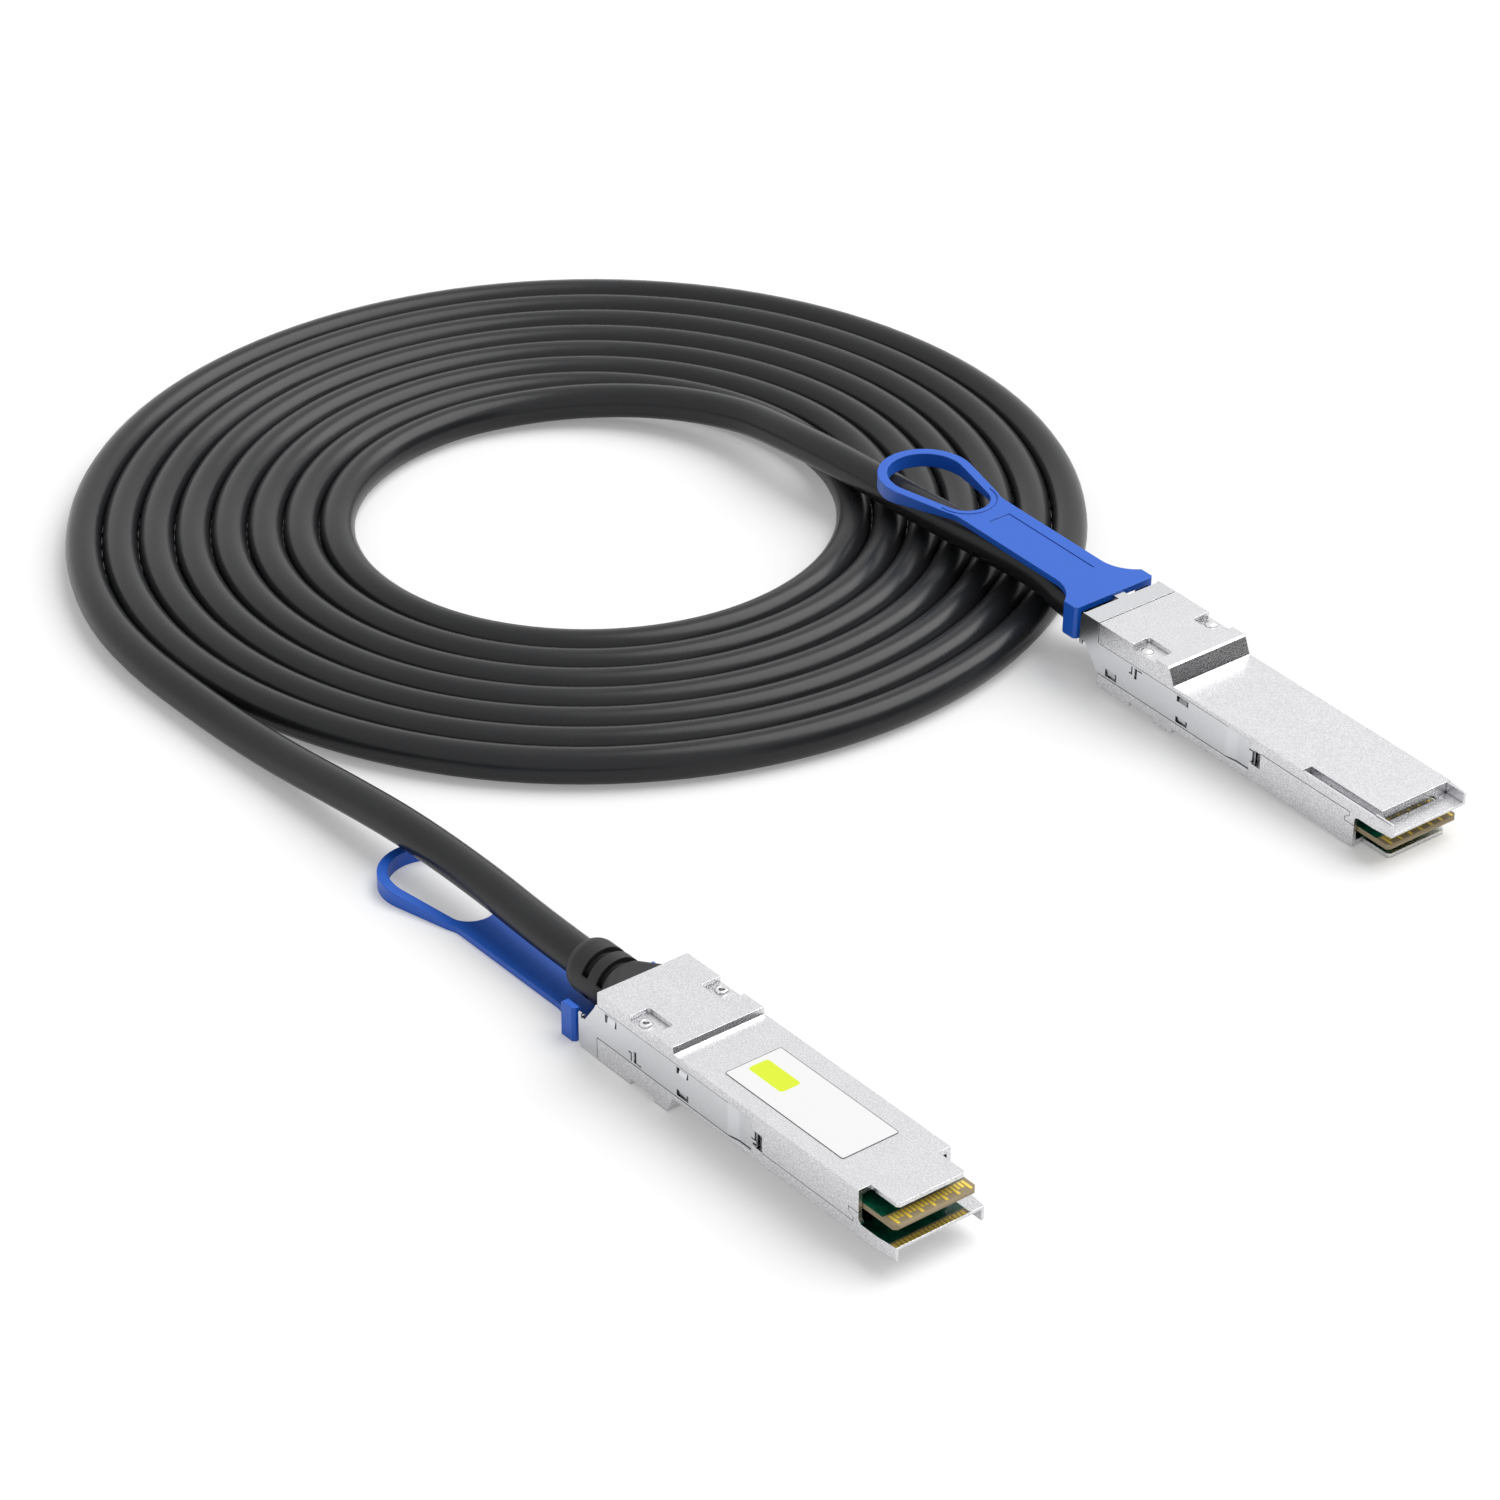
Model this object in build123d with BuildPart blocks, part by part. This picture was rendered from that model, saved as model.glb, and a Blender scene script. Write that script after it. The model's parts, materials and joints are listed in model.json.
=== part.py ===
"""A direct attach copper cable: two pluggable modules on one coiled cable."""
import os
from math import cos, pi, radians, sin, tan

from build123d import *

# Sizes are millimetres. A module's own frame has X towards the contact edge,
# Z from the heat sink side to the label side, and zero at the rear of the
# label cover, on the plane of the heat sink side rims.

# Module envelope
plug_width = 18.35
label_face_z = 8.5
label_block_rise = 1.15
label_block_length = 19.8
label_step_run = 0.25
cover_front_x = 66.1
tongue_front_x = 72.6
tongue_width = 13.5
nose_x = 74.7
nose_width = 17.5
nose_taper_length = 4.0
heat_block_drop = 3.5
heat_block_rear_x = -0.2
heat_block_front_x = 18.2
heat_block_slope_run = 1.5
heat_pad_proud = 0.2

# Walls of the two die-cast halves
plate_thickness = 1.0
nose_wall = 0.8
card_bay_half_width = 7.2
card_bay_front_x = 58.0
cable_bay_half_width = 5.6
cable_bay_front_x = 17.6
belly_floor = 1.8
rear_wall = 1.2
seam_gap = 0.12
seam_low_z = 2.1
seam_high_z = 4.3
seam_step_high_z = 3.5
seam_step_low_z = 2.8
seam_lock_x = 63.7
seam_lock_length = 1.1

# Nose tray of the heat sink shell
tray_top_z = 2.36
tray_web = 0.5
tray_rim = 0.5
tray_corner_radius = 0.9
pad_front_x = 70.45
web_slot_width = 0.6
web_slot_near_y = 6.7
web_slot_far_y = -5.7
pad_groove_start_x = 52.9
pad_groove_y = 7.1
pad_groove_depth = 1.35
nose_well_half_width = 6.4
nose_floor_z = 2.05

# Rivet recesses and rivets
recess_rear_x = 8.6
recess_length = 6.3
recess_inner_y = 5.2
recess_depth = 0.95
recess_corner_radius = 0.5
rivet_x = 10.9
rivet_y = 7.65
rivet_radius = 0.75
rivet_head_radius = 1.15
rivet_head_height = 0.45
rivet_flare_bore = 0.45
rivet_head_chamfer = 0.25

# Latch slider, stamped sheet
sheet = 0.3
side_play = 0.1
arm_low_z = 0.75
arm_high_z = 6.85
arm_edge_gap = 0.12
arm_rear_x = -5.3
arm_foot_x = -4.7
arm_foot_z = -2.3
hook_high_z = 3.1
hook_low_z = 2.2
hook_front_x = -4.6
arm_slope_low_x = -3.8
arm_slope_high_x = -1.15
arm_slope_high_z = 5.8
arm_top_rear_x = -0.6
arm_bend_x = 33.8
arm_bend_run = 2.4
arm_bend_depth = 0.5
arm_front_x = 39.5
arm_corner_z = 6.2
arm_corner_run = 0.15
arm_recess_gap = 0.25
arm_tip_x = 40.35
arm_tip_run = 0.65
arm_tip_low_z = 2.3
arm_tip_high_z = 5.05
tip_slot_x = 39.95
tip_slot_low_z = 2.8
tip_slot_foot_x = 39.1
tip_slot_foot_height = 0.25
strip_rear_x = -4.5
strip_gap = 0.2
insert_reach = 5.2
insert_width = 2.3
insert_y = -0.7
hook_lip = 0.8
slider_travel = 2.5
window_front_gap = 1.5
lance_width = 3.0
lance_rear_height = 1.55
lance_front_height = 1.2
lance_edge_gap = 0.3
lance_slot = 0.5
lance_cross_slot = 0.35
lance_bend = 0.25
lance_pocket_depth = 0.8
lance_front_x = 20.7
lance_rear_x = 1.95

# Return springs, one a side, behind a tab of the slider
spring_tab_x = 9.2
spring_tab_low_z = 1.3
spring_tab_height = 1.4
spring_tab_depth = 1.2
spring_cut_low_z = 1.1
spring_slot_x = 8.65
spring_slot_width = 0.3
spring_slot_high_z = 2.8
spring_slot_reach = 0.85
spring_window_x = 9.5
spring_window_width = 0.65
spring_window_high_z = 3.3
spring_window_reach = 1.25
spring_radius = 0.5
spring_wire = 0.2
spring_turns = 5
spring_points_per_turn = 10
spring_length = 5.2
spring_pocket_clearance = 0.15

# Pull tab
tab_thickness = 1.2
tab_front_x = -6.4
tab_strap_width = 11.0
tab_flare_width = 18.7
tab_flare_rear_x = -16.5
tab_leg_rear_x = -9.7
tab_leg_thickness = 1.3
tab_leg_height = 6.5
tab_leg_fillet = 0.4
tab_corner_chamfer = 0.5
loop_rear_centre_x = -59.4
loop_front_centre_x = -48.2
loop_rear_radius = 7.4
loop_front_radius = 4.7
loop_band = 1.8
loop_band_height = 2.8
loop_ramp_front_x = -46.0
loop_ramp_rear_x = -60.0
loop_fillet = 6.0
loop_lip = 1.3
engraving_width = 0.3
engraving_depth = 0.2
engraving_rear_x = -39.1
engraving_front_x = -15.4
engraving_near_y = -2.75
engraving_far_y = 2.0

# Card, pads and chip
card_bottom_z = 4.7
card_thickness = 1.0
card_front_x = 73.95
card_width = 16.4
card_rear_x = 34.0
card_side_clearance = 0.5
card_shoulder_x = 59.0
card_nose_chamfer = 0.3
card_corner_chamfer = 0.85
ledge_gap = 0.05
ledge_rear_x = 38.5
ledge_inner_y = 5.6
pad_count = 19
pad_pitch = 0.8
pad_width = 0.54
pad_rear_x = 71.1
pad_long_front_x = 73.5
pad_short_front_x = 72.5
pad_thickness = 0.05
pads_per_group = 3
chip_size = 4.0
chip_height = 0.9
chip_x = 46.0

# Cable end: boot, ferrule and the pairs
cable_diameter = 6.77
cable_axis_z = 3.9
boot_rear_x = -15.8
boot_rear_radius = 3.5
boot_radius = 4.95
boot_shoulder_length = 2.6
boot_slit_bottom_radius = 3.9
boot_slit_half_width = 4.6
boot_slit_width = 1.65
boot_first_slit_x = -10.4
boot_second_slit_x = -6.5
boot_flare_start_x = -4.8
boot_flare_end_x = -1.2
boot_collar_width = 13.6
boot_collar_height = 9.2
boot_corner_radius = 2.2
boot_neck_width = 11.0
boot_neck_height = 8.9
boot_flange_width = 12.2
boot_flange_start_x = 1.4
boot_flange_end_x = 3.2
boot_gap = 0.05
ferrule_outer_radius = 4.3
ferrule_inner_radius = 3.1
ferrule_rear_x = 3.8
ferrule_length = 5.0
saddle_margin = 0.8
pair_size = 1.2
pair_bundle_pitch = 1.35
pair_card_pitch = 3.05
pair_rear_x = 5.0
pair_bend_x = 9.5
pair_fan_x = 30.0
pair_front_x = 37.8
pairs_per_row = 4

# Places of the two modules and of the spiral, seen from module a
module_b_x = -36.35
module_b_y = 139.8
module_b_pitch = 2.0
coil_centre_x = -140.8
coil_centre_y = 94.15
coil_start_radius = 44.5
coil_pitch = 6.79
coil_whole_turns = 7
coil_edge_chamfer = 2.3

# Sizes that follow from the ones above
half_width = plug_width / 2
label_block_z = label_face_z + label_block_rise
label_flat_x = label_block_length + label_step_run
heat_flat_x = heat_block_front_x + heat_block_slope_run
arm_outer_y = half_width - sheet / 6
arm_inner_y = arm_outer_y - sheet
recess_wall_y = arm_inner_y - side_play
bend_outer_y = arm_outer_y - arm_bend_depth
bend_inner_y = bend_outer_y - sheet
pocket_wall_y = bend_inner_y - side_play
pocket_rear_x = arm_bend_x - slider_travel - arm_edge_gap
arm_recess_front_x = arm_front_x + arm_recess_gap
window_front_x = arm_tip_x + arm_tip_run + window_front_gap
card_top_z = card_bottom_z + card_thickness
cover_ceiling_z = label_face_z - plate_thickness
block_ceiling_z = label_block_z - plate_thickness
shell_floor_z = plate_thickness
belly_floor_z = belly_floor - heat_block_drop
card_rear_width = 2 * (card_bay_half_width - card_side_clearance)
spring_y = recess_wall_y - spring_radius - spring_wire / 2 - spring_pocket_clearance
spring_z = spring_tab_low_z + spring_tab_height / 2
spring_pocket_rear_x = spring_tab_x - spring_length
cable_radius = cable_diameter / 2
coil_turns = coil_whole_turns + 0.5
through = nose_x

os.makedirs("parts", exist_ok=True)


def side_profile(corners):
    """A face in the XZ plane from its corners, for a piece seen from its side."""
    with BuildSketch(Plane.XZ) as profile:
        with BuildLine():
            Polyline(*corners, close=True)
        make_face()
    return profile.sketch


def block(x_span, y_span, z_span, mode=Mode.ADD):
    """A plain block between two values on each axis."""
    with BuildSketch(Plane.XY.offset(z_span[0])) as outline:
        with Locations(((x_span[0] + x_span[1]) / 2, (y_span[0] + y_span[1]) / 2)):
            Rectangle(x_span[1] - x_span[0], y_span[1] - y_span[0])
    extrude(outline.sketch, amount=z_span[1] - z_span[0], mode=mode)


def both_sides(x_span, y_span, z_span, mode=Mode.ADD):
    """The same block at the left and at the right side wall."""
    for side in (1, -1):
        near, far = sorted((side * y_span[0], side * y_span[1]))
        block(x_span, (near, far), z_span, mode)


def seam(gap):
    """The line between the halves from nose to rear, with its locking step."""
    low = seam_low_z - gap
    high = seam_high_z - gap
    lock = seam_lock_x + gap
    return [
        (cover_front_x, high),
        (lock, high),
        (lock, seam_step_high_z),
        (lock + seam_lock_length, seam_step_low_z),
        (lock + seam_lock_length, low),
        (window_front_x, low),
        (arm_recess_front_x, high),
    ]


def rivet_places():
    """Centres of the two rivets."""
    return [(rivet_x, rivet_y), (rivet_x, -rivet_y)]


def recess_outline():
    """The two corner recesses round the rivets, open at the side walls."""
    for side in (1, -1):
        width = half_width - recess_inner_y + 1
        centre = (recess_rear_x + recess_length / 2, side * (recess_inner_y + width / 2))
        with Locations(centre):
            RectangleRounded(recess_length, width, recess_corner_radius)


def arm_pocket(mode=Mode.SUBTRACT):
    """Room in the halves for the slider's arms, their bend and their tips."""
    top = arm_high_z + arm_edge_gap
    bottom = arm_low_z - arm_edge_gap
    both_sides((-through, arm_recess_front_x), (recess_wall_y, half_width + 1), (bottom, top), mode)
    both_sides((pocket_rear_x, arm_recess_front_x), (pocket_wall_y, half_width), (bottom, top), mode)
    both_sides((arm_recess_front_x - 1, window_front_x), (pocket_wall_y, half_width + 1),
               (seam_low_z, arm_tip_high_z + arm_edge_gap), mode)


def lances():
    """Each lance of an arm: where it starts, its free edge and its attached edge."""
    upper = arm_high_z - lance_edge_gap
    lower = arm_low_z + lance_edge_gap
    return [
        (lance_rear_x, upper, upper - lance_rear_height),
        (lance_front_x, upper, upper - lance_front_height),
        (lance_front_x, lower, lower + lance_front_height),
    ]


def lance_pockets():
    """Room in the halves behind the lances, for their bent tabs and the slider's travel."""
    for x_start, free_z, attached_z in lances():
        low, high = sorted((free_z, attached_z))
        both_sides((x_start - slider_travel - side_play, x_start + lance_width + side_play),
                   (recess_wall_y - lance_pocket_depth, recess_wall_y + side_play),
                   (low - side_play, high + side_play), Mode.SUBTRACT)


def spring_pocket(mode=Mode.SUBTRACT):
    """Room for a return spring and the slider's tab, open to the arm recess."""
    depth = 2 * spring_radius + spring_wire + 2 * spring_pocket_clearance
    x_span = (spring_pocket_rear_x - spring_pocket_clearance, spring_tab_x + sheet + 2 * side_play)
    height = spring_tab_height / 2 + spring_pocket_clearance
    z_span = (spring_z - height, spring_z + height)
    both_sides(x_span, (recess_wall_y - depth, recess_wall_y + side_play), z_span, mode)


# Label cover: flat label face, raised rear block and deep side walls
with BuildPart() as label_cover:
    cover_profile = side_profile([
        (0, seam_high_z),
        (0, label_block_z),
        (label_block_length, label_block_z),
        (label_flat_x, label_face_z),
        (cover_front_x, label_face_z),
        *seam(0),
    ])
    extrude(cover_profile, amount=half_width, both=True)
    block((cover_front_x, tongue_front_x), (-tongue_width / 2, tongue_width / 2),
          (label_face_z - nose_wall, label_face_z))
    block((rear_wall, cable_bay_front_x), (-cable_bay_half_width, cable_bay_half_width),
          (0, block_ceiling_z), Mode.SUBTRACT)
    block((cable_bay_front_x, card_bay_front_x), (-card_bay_half_width, card_bay_half_width),
          (0, cover_ceiling_z), Mode.SUBTRACT)
    nose_bay = half_width - nose_wall
    block((card_bay_front_x, cover_front_x + 1), (-nose_bay, nose_bay),
          (0, cover_ceiling_z), Mode.SUBTRACT)
    arm_pocket()
    lance_pockets()
    # Rear opening for the boot, and the groove that holds its flange
    boot_half = boot_neck_width / 2 + boot_gap
    boot_top = cable_axis_z + boot_neck_height / 2 + boot_gap
    block((-1, rear_wall + 1), (-boot_half, boot_half), (0, boot_top), Mode.SUBTRACT)
    flange_half = boot_flange_width / 2 + boot_gap
    block((boot_flange_start_x - boot_gap, boot_flange_end_x + boot_gap),
          (-flange_half, flange_half), (0, boot_top), Mode.SUBTRACT)
    # Ribs that press the card onto its ledges
    both_sides((ledge_rear_x, card_bay_front_x - 1), (ledge_inner_y, card_bay_half_width),
               (card_top_z + ledge_gap, cover_ceiling_z))
    # Upper half of the saddle round the ferrule
    block((ferrule_rear_x + saddle_margin, ferrule_rear_x + ferrule_length - saddle_margin),
          (-cable_bay_half_width, cable_bay_half_width), (seam_high_z, block_ceiling_z))
    with BuildSketch(Plane.YZ.offset(ferrule_rear_x)):
        with Locations((0, cable_axis_z)):
            Circle(ferrule_outer_radius + boot_gap)
    extrude(amount=ferrule_length, mode=Mode.SUBTRACT)
    with BuildSketch(Plane.XY.offset(label_block_z - recess_depth)):
        recess_outline()
    extrude(amount=recess_depth + 1, mode=Mode.SUBTRACT)
    with Locations(*[(x, y, label_block_z - recess_depth) for x, y in rivet_places()]):
        Hole(rivet_radius)
    tongue_corners = label_cover.edges().filter_by(Axis.Z).group_by(Axis.X)[-1]
    chamfer(tongue_corners, length=0.5)


# Heat sink shell: the rear block, the flat pad, the side rims and the nose tray
with BuildPart() as heat_sink_shell:
    rear_x = heat_block_rear_x
    shell_profile = side_profile([
        (rear_x, seam_high_z - seam_gap),
        (rear_x, -heat_block_drop),
        (heat_block_front_x, -heat_block_drop),
        (heat_flat_x, -heat_pad_proud),
        (cover_front_x, -heat_pad_proud),
        *seam(seam_gap),
    ])
    extrude(shell_profile, amount=half_width, both=True)
    # Inside: the cable bay and the card bay
    block((rear_x + rear_wall, cable_bay_front_x - 1), (-cable_bay_half_width, cable_bay_half_width),
          (belly_floor_z, through), Mode.SUBTRACT)
    block((cable_bay_front_x - 1.5, card_bay_front_x), (-card_bay_half_width, card_bay_half_width),
          (shell_floor_z, through), Mode.SUBTRACT)
    arm_pocket()
    lance_pockets()
    spring_pocket()
    # Nose tray, tapered a little to lead into the cage
    with BuildSketch(Plane.XY.offset(-heat_pad_proud)):
        with BuildLine():
            Polyline(
                (card_bay_front_x, half_width),
                (nose_x - nose_taper_length, half_width),
                (nose_x, nose_width / 2),
                (nose_x, -nose_width / 2),
                (nose_x - nose_taper_length, -half_width),
                (card_bay_front_x, -half_width),
                close=True,
            )
        make_face()
    extrude(amount=tray_top_z + heat_pad_proud)
    # Under the cover's side walls the tray stands lower, up to the lock
    both_sides((card_bay_front_x - 1, seam_lock_x + seam_lock_length + seam_gap),
               (nose_bay, half_width + 1), (seam_low_z - seam_gap, seam_step_low_z), Mode.SUBTRACT)
    # The nose bay is deeper in its middle than above the groove of the pad
    block((card_bay_front_x - 1, cover_front_x), (-nose_bay, nose_bay),
          (nose_floor_z, through), Mode.SUBTRACT)
    block((card_bay_front_x - 1, cover_front_x), (-nose_well_half_width, nose_well_half_width),
          (shell_floor_z, through), Mode.SUBTRACT)
    # Round inner corner where each side wall stands up from the tray
    for side in (1, -1):
        with BuildSketch(Plane.XZ.offset(-side * nose_bay)):
            reach = tray_corner_radius
            with Locations((cover_front_x + reach / 2, tray_top_z + reach / 2)):
                Rectangle(reach, reach)
            with Locations((cover_front_x + reach, tray_top_z + reach)):
                Circle(reach, mode=Mode.SUBTRACT)
        extrude(amount=-side * nose_wall)
    # Pad on the heat sink side: a groove and a lower rim beside it, on one side only
    rim_y = half_width - tray_rim
    web_low_z = tray_top_z - tray_web
    block((pad_groove_start_x, nose_x + 1), (rim_y, half_width + 1), (-1, 0), Mode.SUBTRACT)
    block((pad_groove_start_x, pad_front_x), (pad_groove_y, rim_y), (-1, pad_groove_depth),
          Mode.SUBTRACT)
    # In front of the pad the tray is a thin web between two rims, with a slot through it
    block((pad_front_x, nose_x + 1), (-half_width - 1, -rim_y), (-1, 0), Mode.SUBTRACT)
    lip_half = nose_width / 2 - tray_rim
    block((pad_front_x, nose_x + 1), (-lip_half, lip_half), (-1, web_low_z), Mode.SUBTRACT)
    block((pad_front_x, pad_front_x + web_slot_width), (web_slot_far_y, web_slot_near_y),
          (-1, through), Mode.SUBTRACT)
    # Ledges that carry the card
    both_sides((ledge_rear_x, card_bay_front_x), (ledge_inner_y, card_bay_half_width),
               (shell_floor_z, card_bottom_z - ledge_gap))
    # Rear opening and flange groove for the boot
    boot_low = cable_axis_z - boot_neck_height / 2 - boot_gap
    block((rear_x - 1, rear_wall + 1), (-boot_half, boot_half), (boot_low, through), Mode.SUBTRACT)
    block((boot_flange_start_x - boot_gap, boot_flange_end_x + boot_gap),
          (-flange_half, flange_half), (boot_low, through), Mode.SUBTRACT)
    # Lower half of the saddle round the ferrule
    block((ferrule_rear_x + saddle_margin, ferrule_rear_x + ferrule_length - saddle_margin),
          (-cable_bay_half_width, cable_bay_half_width), (belly_floor_z, cable_axis_z))
    with BuildSketch(Plane.YZ.offset(ferrule_rear_x)):
        with Locations((0, cable_axis_z)):
            Circle(ferrule_outer_radius + boot_gap)
    extrude(amount=ferrule_length, mode=Mode.SUBTRACT)
    with BuildSketch(Plane.XY.offset(-heat_block_drop - 1)):
        recess_outline()
    extrude(amount=recess_depth + 1, mode=Mode.SUBTRACT)
    with Locations(*[(x, y, seam_high_z) for x, y in rivet_places()]):
        Hole(rivet_radius)
    block_edges = heat_sink_shell.edges().filter_by(Axis.Y).group_by(Axis.Z)[0]
    chamfer(block_edges.sort_by(Axis.X)[-1], length=0.25)


arm_wall = (arm_inner_y - sheet, arm_outer_y + sheet)
arm_wall_bent = (bend_inner_y - sheet, arm_outer_y + sheet)


def lance(x_start, free_z, attached_z):
    """A window in both arms, with a small tab bent in from its attached edge."""
    both_sides((x_start, x_start + lance_width), arm_wall, sorted((free_z, attached_z)),
               Mode.SUBTRACT)
    tip_z = free_z - lance_cross_slot if free_z > attached_z else free_z + lance_cross_slot
    for side in (1, -1):
        with BuildSketch(Plane.YZ.offset(x_start + lance_slot)) as tab_profile:
            with BuildLine():
                Polyline(
                    (side * arm_outer_y, attached_z),
                    (side * (arm_outer_y - lance_bend), tip_z),
                    (side * (arm_inner_y - lance_bend), tip_z),
                    (side * arm_inner_y, attached_z),
                    close=True,
                )
            make_face()
        extrude(tab_profile.sketch, amount=lance_width - 2 * lance_slot)


# Latch slider: one stamped sheet, a strip across the rear and an arm on each side
with BuildPart() as latch_slider:
    for side in (1, -1):
        # Arm from above: flat, bent in, and curled out again at its tip
        with BuildSketch(Plane.XY.offset(-heat_block_drop)):
            with BuildLine():
                Polyline(
                    (arm_rear_x, side * arm_outer_y),
                    (arm_bend_x, side * arm_outer_y),
                    (arm_bend_x + arm_bend_run, side * bend_outer_y),
                    (arm_tip_x, side * bend_outer_y),
                    (arm_tip_x + arm_tip_run, side * arm_outer_y),
                    (arm_tip_x + arm_tip_run, side * (arm_outer_y - sheet)),
                    (arm_tip_x + sheet, side * bend_inner_y),
                    (arm_bend_x + arm_bend_run, side * bend_inner_y),
                    (arm_bend_x, side * arm_inner_y),
                    (arm_rear_x, side * arm_inner_y),
                    close=True,
                )
            make_face()
        extrude(amount=heat_block_drop + arm_high_z)
    # Side outline of the arms: what lies outside it is cut away
    with BuildSketch(Plane.XZ) as arm_outline:
        with BuildLine():
            Polyline(
                (arm_foot_x, -heat_block_drop),
                (arm_rear_x, arm_foot_z),
                (arm_rear_x, hook_high_z),
                (hook_front_x, hook_high_z),
                (hook_front_x, hook_low_z),
                (arm_slope_low_x, hook_low_z),
                (arm_slope_high_x, arm_slope_high_z),
                (arm_top_rear_x, arm_high_z),
                (arm_front_x, arm_high_z),
                (arm_front_x, arm_corner_z),
                (arm_front_x + arm_corner_run, arm_tip_high_z),
                (arm_tip_x + arm_tip_run, arm_tip_high_z),
                (arm_tip_x + arm_tip_run, arm_tip_low_z),
                (arm_front_x, arm_tip_low_z),
                (arm_front_x, arm_low_z),
                (heat_block_rear_x - strip_gap, arm_low_z),
                (heat_block_rear_x - strip_gap, -heat_block_drop),
                close=True,
            )
        make_face()
    extrude(amount=half_width, both=True, mode=Mode.INTERSECT)
    # Corner slot that leaves the tip as an upright tongue
    both_sides((tip_slot_x, arm_tip_x), arm_wall_bent, (tip_slot_low_z, arm_high_z), Mode.SUBTRACT)
    both_sides((tip_slot_foot_x, arm_tip_x), arm_wall_bent,
               (tip_slot_low_z, tip_slot_low_z + tip_slot_foot_height), Mode.SUBTRACT)
    # Strip across the heat sink side, and the tongue that the pull tab is moulded round
    block((strip_rear_x, heat_block_rear_x - strip_gap), (-arm_inner_y, arm_inner_y),
          (-heat_block_drop, -heat_block_drop + sheet))
    insert_span = (insert_y - insert_width / 2, insert_y + insert_width / 2)
    block((strip_rear_x - insert_reach, strip_rear_x + sheet), insert_span,
          (-heat_block_drop + sheet, -heat_block_drop + 2 * sheet))
    # Lips folded in at the rear edge of each arm
    both_sides((arm_rear_x, arm_rear_x + sheet), (arm_inner_y - hook_lip, arm_inner_y),
               (arm_foot_z, hook_low_z))
    for x_start, free_z, attached_z in lances():
        lance(x_start, free_z, attached_z)
    # Two corner cuts free each spring tab, which is folded inwards between them
    slot_front_x = spring_slot_x + spring_slot_width
    window_front = spring_window_x + spring_window_width
    cut_high_z = spring_cut_low_z + spring_slot_width
    both_sides((spring_slot_x, slot_front_x), arm_wall, (spring_cut_low_z, spring_slot_high_z),
               Mode.SUBTRACT)
    both_sides((slot_front_x - spring_slot_reach, slot_front_x), arm_wall,
               (spring_slot_high_z - spring_slot_width, spring_slot_high_z), Mode.SUBTRACT)
    both_sides((spring_window_x, window_front), arm_wall, (spring_cut_low_z, spring_window_high_z),
               Mode.SUBTRACT)
    both_sides((window_front, window_front + spring_window_reach), arm_wall,
               (spring_cut_low_z, cut_high_z), Mode.SUBTRACT)
    both_sides((spring_tab_x, spring_tab_x + sheet), (arm_inner_y - spring_tab_depth, arm_inner_y),
               (spring_tab_low_z, spring_tab_low_z + spring_tab_height))


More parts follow.
